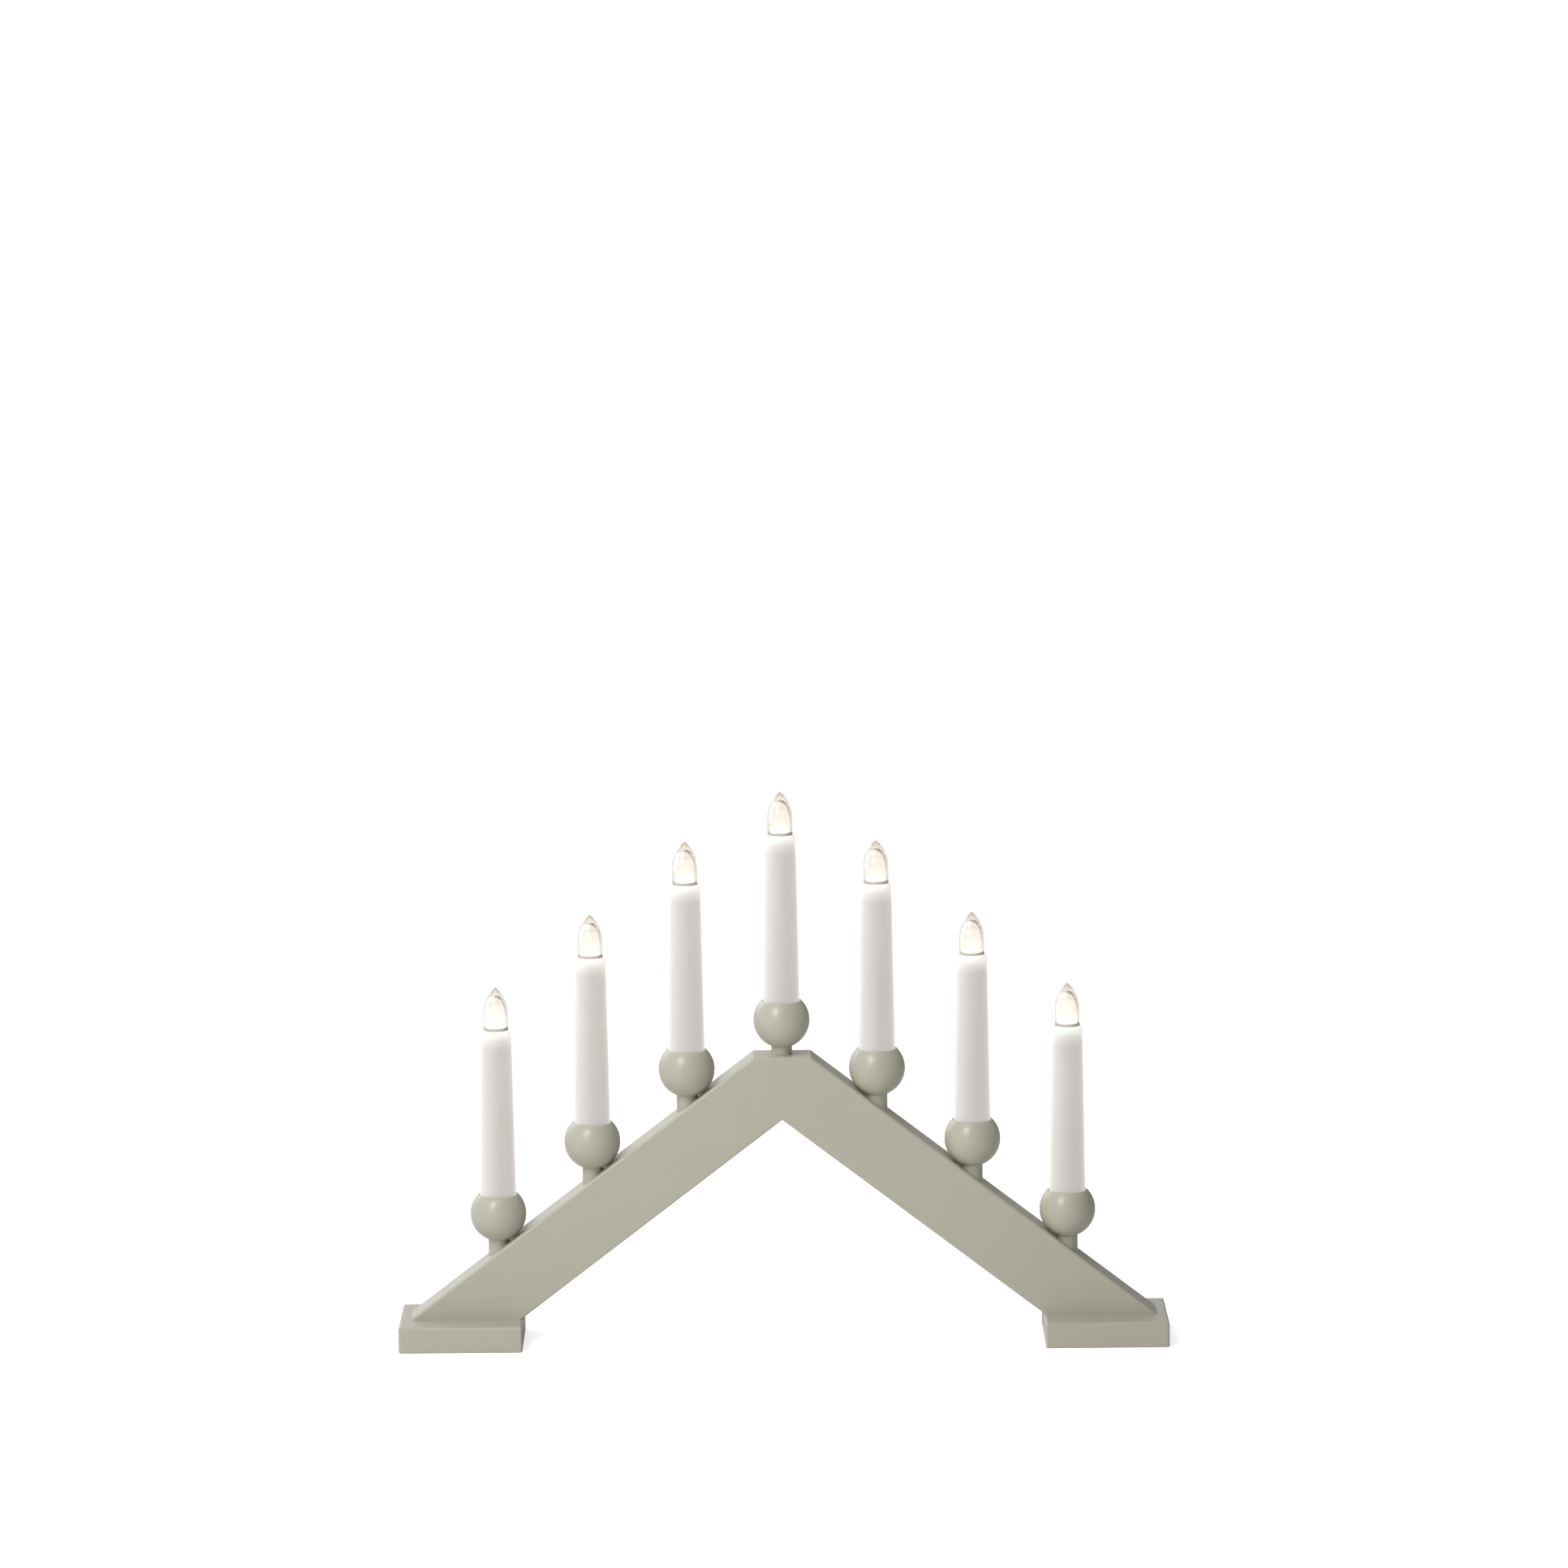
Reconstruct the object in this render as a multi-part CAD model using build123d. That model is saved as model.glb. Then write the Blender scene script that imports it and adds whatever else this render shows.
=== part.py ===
from build123d import *
from math import asin, cos, radians, sin, sqrt, tan
import os

# An electric candle arch: two mitred wooden beams on two feet carry seven turned cups. Each cup
# holds a plastic candle sleeve with a screw lamp holder in its top, and a clear pointed bulb
# screws into the holder. The lamps are wired in series through a channel under the beams.
# Millimetres. The origin is on the floor under the middle. X runs along the arch, Y runs from
# front to back and Z is up.

# Feet
overall_width = 431.0
foot_width = 69.2
foot_depth = 58.0
foot_height = 14.5
foot_edge_radius = 1.4
foot_base_chamfer = 0.5

# Beams
beam_thickness = 22.0
beam_width = 38.2
beam_rise_degrees = 37.5
beam_edge_radius = 1.5
beam_under_radius = 1.0
heel_inset = 1.0
toe_blunting = 1.2
ridge_flat_width = 32.0

# Wire channel under the beams, and the strips that close it
channel_depth = 10.0
cover_rebate = 2.0
cover_thickness = 2.0
cover_side_gap = 0.1
heel_pocket_width = 13.0
heel_pocket_height = 12.0
heel_pocket_start = 3.0
heel_pocket_end_gap = 0.7

# Nails that hold the strips
nail_radius = 0.5
nail_length = 9.0
nail_head_radius = 1.1
nail_head_height = 0.6
nail_edge_distance = 1.3
nail_first_share = 0.1
nail_last_share = 0.9
nails_per_strip = 4

# Dowels across the mitre
dowel_radius = 2.2
dowel_length = 30.0
dowel_end_gap = 0.4
dowel_height_share = 0.252

# Screws up through the feet
screw_radius = 1.75
screw_head_radius = 3.5
screw_head_height = 2.0
screw_recess = 1.0
screw_hole_gap = 0.2
screw_end_gap = 0.4
screw_bite_share = 0.68
screw_place_shares = (0.125, 0.45)
driver_slot_length = 3.6
driver_slot_width = 0.8
driver_slot_depth = 1.2

# Candle places
candle_count = 7
end_candle_from_heel = 12.3
ball_slope_gap = 0.3
ball_ridge_gap = 3.6

# Turned cups
ball_radius = 15.7
neck_radius = 5.8
neck_hole_depth = 14.0
cup_rim_land = 0.9
cup_socket_depth = 13.0
cup_floor_bore_radius = 3.0
glue_gap = 0.1

# Candle sleeves
sleeve_foot_radius = 10.15
sleeve_top_height = 105.0
sleeve_rim_width = 1.35
sleeve_mouth_land = 0.05
sleeve_wall = 1.3
sleeve_socket_gap = 0.15
sleeve_ledge_depth = 4.0
sleeve_ledge_width = 0.5

# Lamp holders in the sleeves
holder_collar_step = 0.65
holder_wall = 1.45
holder_length = 20.0
holder_floor_thickness = 3.0
holder_skirt_wall = 1.2
shell_wall = 0.2
shell_seat_gap = 0.05
shell_top_depth = 1.5
shell_foot_gap = 1.2
shell_tag_width = 1.6
shell_tag_thickness = 0.4
shell_tag_reach = 1.6
tag_hole_gap = 0.1
tag_below_floor = 1.5
contact_disc_radius = 2.4
contact_disc_thickness = 0.4
contact_leg_radius = 0.5
contact_rest_gap = 0.1

# Bulbs
bulb_radius = 6.95
bulb_height = 23.6
bulb_seat_gap = 0.15
bulb_base_chamfer = 0.5
bulb_point_curve_radius = 20.0
bulb_tip_radius = 1.2
bulb_floor = 1.2
bulb_solid_tip = 8.0
cap_radius = 4.7
cap_wall = 0.3
cap_length = 9.2
cap_shell_gap = 0.1
cap_top_gap = 0.3
core_flange_radius = 5.3
core_flange_height = 1.0
core_side_gap = 0.3
core_cap_gap = 0.05
core_point_radius = 2.4
core_point_height = 1.7
core_post_radius = 2.1
core_post_height = 2.4
lamp_chip_radius = 1.5
tip_head_radius = 1.5
tip_head_height = 1.5
tip_stem_radius = 0.6
tip_stem_length = 3.0
tip_stem_gap = 0.05
tip_seat_gap = 0.1

# Wires
wire_radius = 0.8
wire_offset = 1.3
return_wire_gap = 0.5
channel_side_gap = 0.3
wire_above_cover = 0.4
wire_above_foot = 0.7
wire_sharp_radius = 4.0
wire_gentle_radius = 12.0
wire_ridge_radius = 20.0
wire_spread_share = 0.8
shell_wire_gap = 0.1
sleeve_wire_foot_share = 0.1
splice_radius = 1.4
splice_bore_gap = 0.05
splice_length = 5.0
splice_from_lamp = 4.5
splice_corner_radius = 4.0

# Cord inlet in the back of the right beam
inlet_bore_radius = 2.6
inlet_wall = 1.4
inlet_flange_radius = 5.4
inlet_flange_thickness = 1.5
inlet_from_pocket_start = 7.0
inlet_above_foot = 6.5

# Cuts run past the faces by this much
overrun = 5.0

# Worked out from the sizes above
half_thickness = beam_thickness / 2
rise = radians(beam_rise_degrees)
slope = tan(rise)
foot_outer_x = overall_width / 2
foot_inner_x = foot_outer_x - foot_width
foot_middle_x = (foot_outer_x + foot_inner_x) / 2
heel_x = foot_inner_x + heel_inset
toe_x = heel_x + beam_width / sin(rise)
apex_z = foot_height + heel_x * slope
peak_z = apex_z + beam_width / cos(rise)
ridge_z = peak_z - ridge_flat_width / 2 * slope
return_wire_offset = wire_offset + 2 * wire_radius + return_wire_gap
channel_width = 2 * (return_wire_offset + wire_radius + channel_side_gap)
cover_width = channel_width + 2 * cover_rebate
cover_half = cover_width / 2
pocket_x0 = heel_x + heel_pocket_start
middle = (candle_count - 1) / 2
candle_spacing = (heel_x + end_candle_from_heel) / middle
splice_x = middle * candle_spacing + splice_from_lamp
pocket_x1 = splice_x + splice_length + heel_pocket_end_gap
socket_radius = sleeve_foot_radius + sleeve_socket_gap
cup_rim_radius = socket_radius + cup_rim_land
cup_rim_height = sqrt(ball_radius ** 2 - cup_rim_radius ** 2)
socket_floor = cup_rim_height - cup_socket_depth
holder_bottom = sleeve_top_height - holder_length
bulb_z = sleeve_top_height + bulb_seat_gap
cap_low = -cap_top_gap - cap_length
tip_top = cap_low - core_point_height - tip_seat_gap
holder_floor = bulb_z + tip_top - tip_head_height - contact_rest_gap - contact_disc_thickness
shell_inner_radius = cap_radius + cap_shell_gap
shell_outer_radius = shell_inner_radius + shell_wall
cavity_radius = shell_outer_radius + shell_seat_gap
shell_wire_offset = shell_outer_radius - wire_radius - shell_wire_gap
holder_body_radius = cavity_radius + holder_wall
holder_collar_radius = holder_body_radius + holder_collar_step
sleeve_mouth_radius = holder_collar_radius + glue_gap
sleeve_ledge_radius = sleeve_mouth_radius - sleeve_ledge_width
sleeve_top_radius = sleeve_mouth_radius + sleeve_rim_width
sleeve_shoulder_radius = sleeve_rim_width - sleeve_mouth_land
tag_z = holder_floor - holder_floor_thickness - tag_below_floor


def candle_x(number):
    return (number - 1 - middle) * candle_spacing


def surface_z(number):
    """Height of the beam's top on a candle's axis."""
    return min(ridge_z, peak_z - abs(candle_x(number)) * slope)


def ball_z(number):
    """Height of a cup's ball: on the slope the ball clears the beam by the slope gap."""
    if candle_x(number) == 0:
        return ridge_z + ball_ridge_gap + ball_radius
    return surface_z(number) + (ball_radius + ball_slope_gap) / cos(rise)


def along(distance, depth):
    """A point of the right beam: distance up its underside from the heel, and depth into it."""
    x = heel_x - distance * cos(rise) + depth * sin(rise)
    return (x, foot_height + distance * sin(rise) + depth * cos(rise))


def slab(points, width):
    """A flat shape drawn in X and Z and given its width along Y, half to each side."""
    face = make_face(Plane.XZ * Polyline(*points, close=True))
    return extrude(face, amount=width / 2, both=True)


def turned(outline):
    """A piece turned about Z from an outline in X and Z."""
    return revolve(make_face(Plane.XZ * outline), axis=Axis.Z)


def bar(radius, length, place):
    """A round bar with its lower end at the place's origin."""
    return place * Cylinder(radius, length, align=(Align.CENTER, Align.CENTER, Align.MIN))


def mirrored(shape):
    return mirror(shape, about=Plane.YZ)


# Feet

def foot():
    """The right foot: a softened board with screw holes sunk from below."""
    body = Pos(foot_middle_x, 0, foot_height / 2) * Box(foot_width, foot_depth, foot_height)
    soft = body.edges().filter_by(Axis.Z) + body.faces().sort_by(Axis.Z)[-1].edges()
    body = fillet(soft, radius=foot_edge_radius)
    body = chamfer(body.faces().sort_by(Axis.Z)[0].edges(), length=foot_base_chamfer)
    for x, length in screw_places():
        body -= bar(screw_radius + screw_hole_gap, foot_height, Pos(x, 0, 0))
        body -= bar(screw_head_radius + screw_hole_gap, screw_recess, Pos(x, 0, 0))
        body -= Pos(x, 0, screw_recess) * head_cone(screw_hole_gap)
    return body


def screw_places():
    """Where the right foot's screws stand between pocket and toe, and how long they are."""
    room = toe_x - pocket_x1
    bite = room * (1 - screw_place_shares[-1]) * slope * screw_bite_share
    length = foot_height - screw_recess + bite
    return [(pocket_x1 + room * share, length) for share in screw_place_shares]


def head_cone(gap):
    """The cone under a countersunk head, wide end down."""
    return Cone(screw_head_radius + gap, screw_radius + gap, screw_head_height,
                align=(Align.CENTER, Align.CENTER, Align.MIN))


def foot_screws():
    """Four countersunk screws with crossed driver slots."""
    screws = []
    for side in (-1, 1):
        for x, length in screw_places():
            screw = bar(screw_radius, length - screw_head_height, Pos(0, 0, screw_head_height))
            screw += head_cone(0)
            for turn in (0, 90):
                screw -= Rot(0, 0, turn) * Box(driver_slot_length, driver_slot_width,
                                               2 * driver_slot_depth)
            screws.append(Pos(side * x, 0, screw_recess) * screw)
    return screws


# Beams

def beam(number_from, number_to, has_inlet):
    """The right beam, with holes for the cups whose numbers are given."""
    toe_top_z = foot_height + toe_blunting * slope
    outline = [(heel_x, foot_height), (toe_x - toe_blunting, foot_height),
               (toe_x - toe_blunting, toe_top_z), (ridge_flat_width / 2, ridge_z),
               (0, ridge_z), (0, apex_z)]
    body = slab(outline, beam_thickness)
    downhill = Axis((0, 0, 0), (cos(rise), 0, -sin(rise)))
    sloped = body.edges().filter_by(downhill).sort_by(Axis.Z)
    ridge = body.faces().sort_by(Axis.Z)[-1].edges().filter_by(Axis.X)
    body = fillet(sloped[-2:] + ridge, radius=beam_edge_radius)
    body = fillet(body.edges().filter_by(downhill).sort_by(Axis.Z)[:2], radius=beam_under_radius)
    body -= slab([along(-overrun, -overrun), along(channel_reach(), -overrun),
                  along(channel_reach(), channel_depth), along(-overrun, channel_depth)],
                 channel_width)
    body -= slab([along(-overrun, -overrun), along(channel_reach(), -overrun),
                  along(channel_reach(), cover_thickness), along(-overrun, cover_thickness)],
                 cover_width)
    pocket_top = foot_height + heel_pocket_height
    body -= slab([(pocket_x0, 0), (pocket_x1, 0), (pocket_x1, pocket_top), (pocket_x0, pocket_top)],
                 heel_pocket_width)
    for number in range(number_from, number_to + 1):
        x = abs(candle_x(number))
        hole_floor = surface_z(number) - neck_hole_depth
        body -= bar(neck_radius + glue_gap, neck_hole_depth + ball_radius, Pos(x, 0, hole_floor))
        body -= bar(cup_floor_bore_radius, hole_floor - under_line(x), Pos(x, 0, under_line(x)))
    for place in dowel_places():
        body -= bar(dowel_radius + glue_gap, dowel_length + 2 * dowel_end_gap,
                    Pos(-dowel_end_gap, 0, 0) * place)
    for x, length in screw_places():
        body -= bar(screw_radius, length + screw_end_gap, Pos(x, 0, screw_recess))
    for place in nail_places():
        body -= bar(nail_radius, nail_length, place)
    if has_inlet:
        body -= bar(inlet_bore_radius + inlet_wall, half_thickness, inlet_place(0))
    return body


def under_line(x):
    return max(foot_height, apex_z - abs(x) * slope)


def channel_reach():
    """How far up the underside the channel is cut: past the mitre."""
    return heel_x / cos(rise) + beam_width


def right_half(shape):
    """What lies to the right of the mitre."""
    size = overall_width
    return shape & (Pos(size / 2, 0, size / 2) * Box(size, size, size))


def dowel_places():
    """In the middle of the wood on either side of the channel."""
    offset = (channel_width / 2 + half_thickness) / 2
    z = apex_z + (peak_z - apex_z) * dowel_height_share
    return [Pos(-dowel_length / 2, y, z) * Rot(0, 90, 0) for y in (-offset, offset)]


def mitre_dowels():
    return [bar(dowel_radius, dowel_length, place) for place in dowel_places()]


# Cover strips and their nails

def cover_strip():
    """The right strip: flush with the underside, cut level at the foot and upright at the mitre."""
    strip = slab([along(-overrun, 0), along(channel_reach(), 0),
                  along(channel_reach(), cover_thickness), along(-overrun, cover_thickness)],
                 cover_width - 2 * cover_side_gap)
    strip = right_half(strip)
    strip -= Pos(heel_x, 0, foot_height / 2) * Box(foot_width, foot_depth, foot_height)
    for place in nail_places():
        strip -= bar(nail_radius, nail_length, place)
        strip -= bar(nail_head_radius, nail_head_height, place)
    return strip


def nail_places():
    """Places of the right strip's nails, on alternate sides of the channel, pointing inwards."""
    run = heel_x / cos(rise)
    step_share = (nail_last_share - nail_first_share) / (nails_per_strip - 1)
    places = []
    for count in range(nails_per_strip):
        x, z = along(run * (nail_first_share + step_share * count), 0)
        side = 1 if count % 2 else -1
        y = side * (cover_half - nail_edge_distance)
        places.append(Pos(x, y, z) * Rot(0, beam_rise_degrees, 0))
    return places


def cover_nails():
    nails = []
    for place in nail_places():
        nail = bar(nail_radius, nail_length, place) + bar(nail_head_radius, nail_head_height, place)
        nails += [nail, mirrored(nail)]
    return nails


# Cups

def cup(number):
    """A turned ball with a neck below, a socket for the sleeve above and a wire bore through."""
    neck_bottom = surface_z(number) - neck_hole_depth - ball_z(number)
    joint_z = -sqrt(ball_radius ** 2 - neck_radius ** 2)
    outline = [
        Line((cup_floor_bore_radius, neck_bottom), (neck_radius, neck_bottom)),
        Line((neck_radius, neck_bottom), (neck_radius, joint_z)),
        ThreePointArc((neck_radius, joint_z), (ball_radius, 0), (cup_rim_radius, cup_rim_height)),
        Polyline((cup_rim_radius, cup_rim_height), (socket_radius, cup_rim_height),
                 (socket_radius, socket_floor), (cup_floor_bore_radius, socket_floor),
                 (cup_floor_bore_radius, neck_bottom)),
    ]
    return Pos(candle_x(number), 0, ball_z(number)) * turned(Curve() + outline)


# Candle sleeves

def candle_sleeve(number):
    """A tapered tube with a rounded top and an inner ledge that the lamp holder rests on."""
    top = sleeve_top_height
    shoulder_x = sleeve_top_radius - sleeve_shoulder_radius
    shoulder_z = top - sleeve_shoulder_radius
    mouth = sleeve_mouth_radius
    ledge_z = top - sleeve_ledge_depth
    corner = sleeve_shoulder_radius * sin(radians(45))
    outline = [
        Polyline((sleeve_foot_radius, socket_floor), (sleeve_foot_radius, cup_rim_height),
                 (sleeve_top_radius, shoulder_z)),
        ThreePointArc((sleeve_top_radius, shoulder_z), (shoulder_x + corner, shoulder_z + corner),
                      (shoulder_x, top)),
        Polyline((shoulder_x, top), (mouth, top), (mouth, ledge_z), (sleeve_ledge_radius, ledge_z),
                 (sleeve_foot_radius - sleeve_wall, socket_floor), (sleeve_foot_radius, socket_floor)),
    ]
    return Pos(candle_x(number), 0, ball_z(number)) * turned(Curve() + outline)


# Lamp holders, their threaded shells and their centre contacts

def lamp_holder():
    """A collared plastic cup: the threaded shell stands in it and its skirt covers the tags."""
    ledge_z = sleeve_top_height - sleeve_ledge_depth
    skirt_top = holder_floor - holder_floor_thickness
    skirt_radius = holder_body_radius - holder_skirt_wall
    body = turned(Polyline(
        (0, holder_floor), (cavity_radius, holder_floor), (cavity_radius, sleeve_top_height),
        (holder_collar_radius, sleeve_top_height), (holder_collar_radius, ledge_z),
        (holder_body_radius, ledge_z), (holder_body_radius, holder_bottom),
        (skirt_radius, holder_bottom), (skirt_radius, skirt_top), (0, skirt_top), close=True))
    body -= bar(contact_leg_radius + tag_hole_gap, holder_length, Pos(0, -wire_offset, holder_bottom))
    slot = Box(shell_tag_width + 2 * tag_hole_gap, shell_tag_thickness + 2 * tag_hole_gap,
               holder_length, align=(Align.CENTER, Align.MAX, Align.MIN))
    body -= Pos(0, shell_outer_radius + tag_hole_gap, skirt_top - tag_hole_gap) * slot
    return body


def socket_shell():
    """A brass sleeve whose tag goes down through the holder's floor and turns in to the wire."""
    foot_z = holder_floor + shell_foot_gap
    top_z = sleeve_top_height - shell_top_depth
    body = turned(Polyline((shell_inner_radius, foot_z), (shell_outer_radius, foot_z),
                           (shell_outer_radius, top_z), (shell_inner_radius, top_z), close=True))
    tag = Box(shell_tag_width, shell_tag_thickness, foot_z - tag_z + shell_wall,
              align=(Align.CENTER, Align.MAX, Align.MIN))
    turned_in = Box(shell_tag_width, shell_tag_reach, shell_tag_thickness,
                    align=(Align.CENTER, Align.MAX, Align.MIN))
    body += Pos(0, shell_outer_radius, tag_z) * tag
    body += Pos(0, shell_outer_radius, tag_z) * turned_in
    return body - bar(shell_inner_radius, shell_wall, Pos(0, 0, foot_z))


def centre_contact():
    """A brass disc on the holder's floor with a leg down to its wire."""
    disc = bar(contact_disc_radius, contact_disc_thickness, Pos(0, 0, holder_floor))
    return disc + bar(contact_leg_radius, holder_floor - tag_z + contact_disc_thickness,
                      Pos(0, -wire_offset, tag_z))


def in_each_sleeve(shape):
    return [Pos(candle_x(number), 0, ball_z(number)) * shape for number in candle_numbers]


# Bulbs

def bulb_glass():
    """A clear pointed envelope with a thick solid tip over a domed hollow."""
    curve_x = bulb_radius - bulb_point_curve_radius
    tip_rise = sqrt((bulb_point_curve_radius - bulb_tip_radius) ** 2 - curve_x ** 2)
    tip_centre = bulb_height - bulb_tip_radius
    straight = tip_centre - tip_rise
    meet = bulb_point_curve_radius / (bulb_point_curve_radius - bulb_tip_radius)
    meet_x, meet_z = curve_x - curve_x * meet, straight + tip_rise * meet
    half_turn = asin((meet_z - straight) / bulb_point_curve_radius) / 2
    on_curve = (curve_x + bulb_point_curve_radius * cos(half_turn),
                straight + bulb_point_curve_radius * sin(half_turn))
    tip_turn = asin(tip_rise / (bulb_point_curve_radius - bulb_tip_radius))
    on_tip_turn = (tip_turn + radians(90)) / 2
    on_tip = (bulb_tip_radius * cos(on_tip_turn), tip_centre + bulb_tip_radius * sin(on_tip_turn))
    outside = turned(Curve() + [
        Polyline((0, 0), (bulb_radius - bulb_base_chamfer, 0), (bulb_radius, bulb_base_chamfer),
                 (bulb_radius, straight)),
        ThreePointArc((bulb_radius, straight), on_curve, (meet_x, meet_z)),
        ThreePointArc((meet_x, meet_z), on_tip, (0, bulb_height)),
        Line((0, bulb_height), (0, 0)),
    ])
    hollow_radius = core_flange_radius + core_side_gap
    dome_z = bulb_height - bulb_solid_tip - hollow_radius
    on_dome = hollow_radius * sin(radians(45))
    hollow = turned(Curve() + [
        Polyline((0, bulb_floor), (hollow_radius, bulb_floor), (hollow_radius, dome_z)),
        ThreePointArc((hollow_radius, dome_z), (on_dome, dome_z + on_dome),
                      (0, dome_z + hollow_radius)),
        Line((0, dome_z + hollow_radius), (0, bulb_floor)),
    ])
    return outside - hollow - bar(core_neck_radius() + glue_gap, bulb_floor, Pos(0, 0, 0))


def core_neck_radius():
    return cap_radius - cap_wall - core_cap_gap


def bulb_cap():
    """A brass sleeve on the bulb's neck, with its thread drawn as its outer diameter."""
    return turned(Polyline((cap_radius - cap_wall, cap_low), (cap_radius, cap_low),
                           (cap_radius, -cap_top_gap), (cap_radius - cap_wall, -cap_top_gap),
                           close=True))


def bulb_core():
    """The plastic body in the cap: insulating point below, flange and lamp chip above."""
    neck, point = core_neck_radius(), cap_low - core_point_height
    flange_top = bulb_floor + core_flange_height
    post_top = flange_top + core_post_height
    on_chip = lamp_chip_radius * sin(radians(45))
    body = turned(Curve() + [
        Polyline((0, point), (core_point_radius, point), (neck, cap_low), (neck, bulb_floor),
                 (core_flange_radius, bulb_floor), (core_flange_radius, flange_top),
                 (core_post_radius, flange_top), (core_post_radius, post_top),
                 (lamp_chip_radius, post_top)),
        ThreePointArc((lamp_chip_radius, post_top), (on_chip, post_top + on_chip),
                      (0, post_top + lamp_chip_radius)),
        Line((0, post_top + lamp_chip_radius), (0, point)),
    ])
    return body - bar(tip_stem_radius + tip_stem_gap, tip_stem_length, Pos(0, 0, point))


def bulb_contact():
    """The rivet under the bulb: it lifts with the bulb but is round, so it needn't turn."""
    top, low = tip_top, tip_top - tip_head_height
    on_head = tip_head_radius * sin(radians(45))
    return turned(Curve() + [
        ThreePointArc((0, low), (on_head, top - on_head), (tip_head_radius, top)),
        Polyline((tip_head_radius, top), (tip_stem_radius, top), (tip_stem_radius, top + tip_stem_length),
                 (0, top + tip_stem_length), (0, low)),
    ])


def in_place(shape, number):
    return Pos(candle_x(number), 0, ball_z(number) + bulb_z) * shape


# Wires

def lane_z(x):
    """Height of the channel's wire lane over a place along the arch."""
    level = cover_thickness + wire_above_cover + wire_radius
    return apex_z + level / cos(rise) - abs(x) * slope


def turn_point(number):
    """Where a wire turns from the channel into a cup's bore."""
    x = candle_x(number)
    return (x, max(lane_z(x), foot_height + wire_above_foot + wire_radius))


def riser(number, to_shell):
    """A lamp's wire from the channel's turn up to its tag, as points, lowest first."""
    x, low = turn_point(number)
    y = wire_offset if to_shell else -wire_offset
    z = ball_z(number)
    points = [(x, y, low)]
    if to_shell:
        spread = z + socket_floor + (tag_z - socket_floor) * wire_spread_share
        bend = z + socket_floor + (tag_z - socket_floor) * sleeve_wire_foot_share
        points += [(x, y, bend), (x, shell_wire_offset, spread)]
        return points + [(x, shell_wire_offset, z + tag_z)]
    return points + [(x, y, z + tag_z)]


def wire(points, radii, name):
    """A round wire along straight runs joined by arcs; its volume is compared with its length."""
    path = FilletPolyline(*points, radius=radii)
    section = Plane(origin=path @ 0, z_dir=path % 0) * Circle(wire_radius)
    body = sweep(section, path=path)
    expected = section.area * path.length
    print(name, "length", round(path.length, 1), "volume share", round(body.volume / expected, 5),
          "radii", radii)
    return body


def link_wires():
    """Six wires, each from one lamp's shell to the next lamp's centre contact."""
    wires = []
    for number in range(1, candle_count):
        start = list(reversed(riser(number, True)))
        end = riser(number + 1, False)
        rising = candle_x(number + 1) <= 0
        turns = [wire_sharp_radius, wire_gentle_radius]
        if not rising:
            turns.reverse()
        radii = [wire_gentle_radius, wire_gentle_radius, *turns]
        wires.append(wire(start + end, radii, "link_wire_" + str(number)))
    return wires


def feed_wire():
    """From the last lamp's shell down to its splice in the right heel."""
    start = list(reversed(riser(candle_count, True)))
    end = (splice_x + splice_length / 2, wire_offset, turn_point(candle_count)[1])
    return wire(start + [end], [wire_gentle_radius, wire_gentle_radius, splice_corner_radius],
                "feed_wire")


def return_wire():
    """From the first lamp's contact through both channels to its splice in the right heel."""
    x, z = turn_point(1)
    side = -return_wire_offset
    start = list(reversed(riser(1, False)))
    first, last = candle_x(2), candle_x(candle_count - 1)
    ridge = lane_z(0) + wire_ridge_radius * (1 / cos(rise) - 1)
    points = start + [(first, side, lane_z(first)), (0, side, ridge), (last, side, lane_z(last)),
                      (-x - splice_from_lamp / 2, side, z), (splice_x + splice_length / 2, side, z)]
    radii = [wire_sharp_radius, wire_gentle_radius, wire_ridge_radius, wire_gentle_radius,
             wire_gentle_radius]
    return wire(points, radii, "return_wire")


def wire_splices():
    """Two crimp sleeves in the right heel that join the wires to the supply."""
    tube = bar(splice_radius, splice_length, Pos(0, 0, 0))
    tube -= bar(wire_radius + splice_bore_gap, splice_length, Pos(0, 0, 0))
    return [Pos(splice_x, y, turn_point(candle_count)[1]) * Rot(0, 90, 0) * tube
            for y in (wire_offset, -return_wire_offset)]


# Cord inlet

def inlet_place(outside):
    """The inlet's axis, pointing into the beam from the given distance behind its back face."""
    x, z = pocket_x0 + inlet_from_pocket_start, foot_height + inlet_above_foot
    return Pos(x, half_thickness + outside, z) * Rot(90, 0, 0)


def cord_inlet():
    """A flanged rubber bush through the right beam's back wall."""
    wall = half_thickness - heel_pocket_width / 2
    body = bar(inlet_bore_radius + inlet_wall, wall, inlet_place(0))
    body += bar(inlet_flange_radius, inlet_flange_thickness, inlet_place(inlet_flange_thickness))
    return body - bar(inlet_bore_radius, wall + inlet_flange_thickness,
                      inlet_place(inlet_flange_thickness))


def write(name, shapes):
    """One file for each node. Several like solids share a node as a group."""
    shapes = shapes if isinstance(shapes, list) else [shapes]
    solids = [solid for shape in shapes for solid in shape.solids()]
    export_step(solids[0] if len(solids) == 1 else Compound(children=solids),
                os.path.join("parts", name + ".step"))


candle_numbers = range(1, candle_count + 1)
middle_number = int(middle) + 1

os.makedirs("parts", exist_ok=True)

right_foot = foot()
write("right_foot", right_foot)
write("left_foot", mirrored(right_foot))
write("foot_screws", foot_screws())

write("right_beam", beam(middle_number, candle_count, True))
write("left_beam", mirrored(beam(middle_number, candle_count, False)))
write("mitre_dowels", mitre_dowels())

right_strip = cover_strip()
write("right_channel_cover", right_strip)
write("left_channel_cover", mirrored(right_strip))
write("cover_nails", cover_nails())

for number in candle_numbers:
    write("cup_" + str(number), cup(number))
    write("candle_sleeve_" + str(number), candle_sleeve(number))

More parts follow.
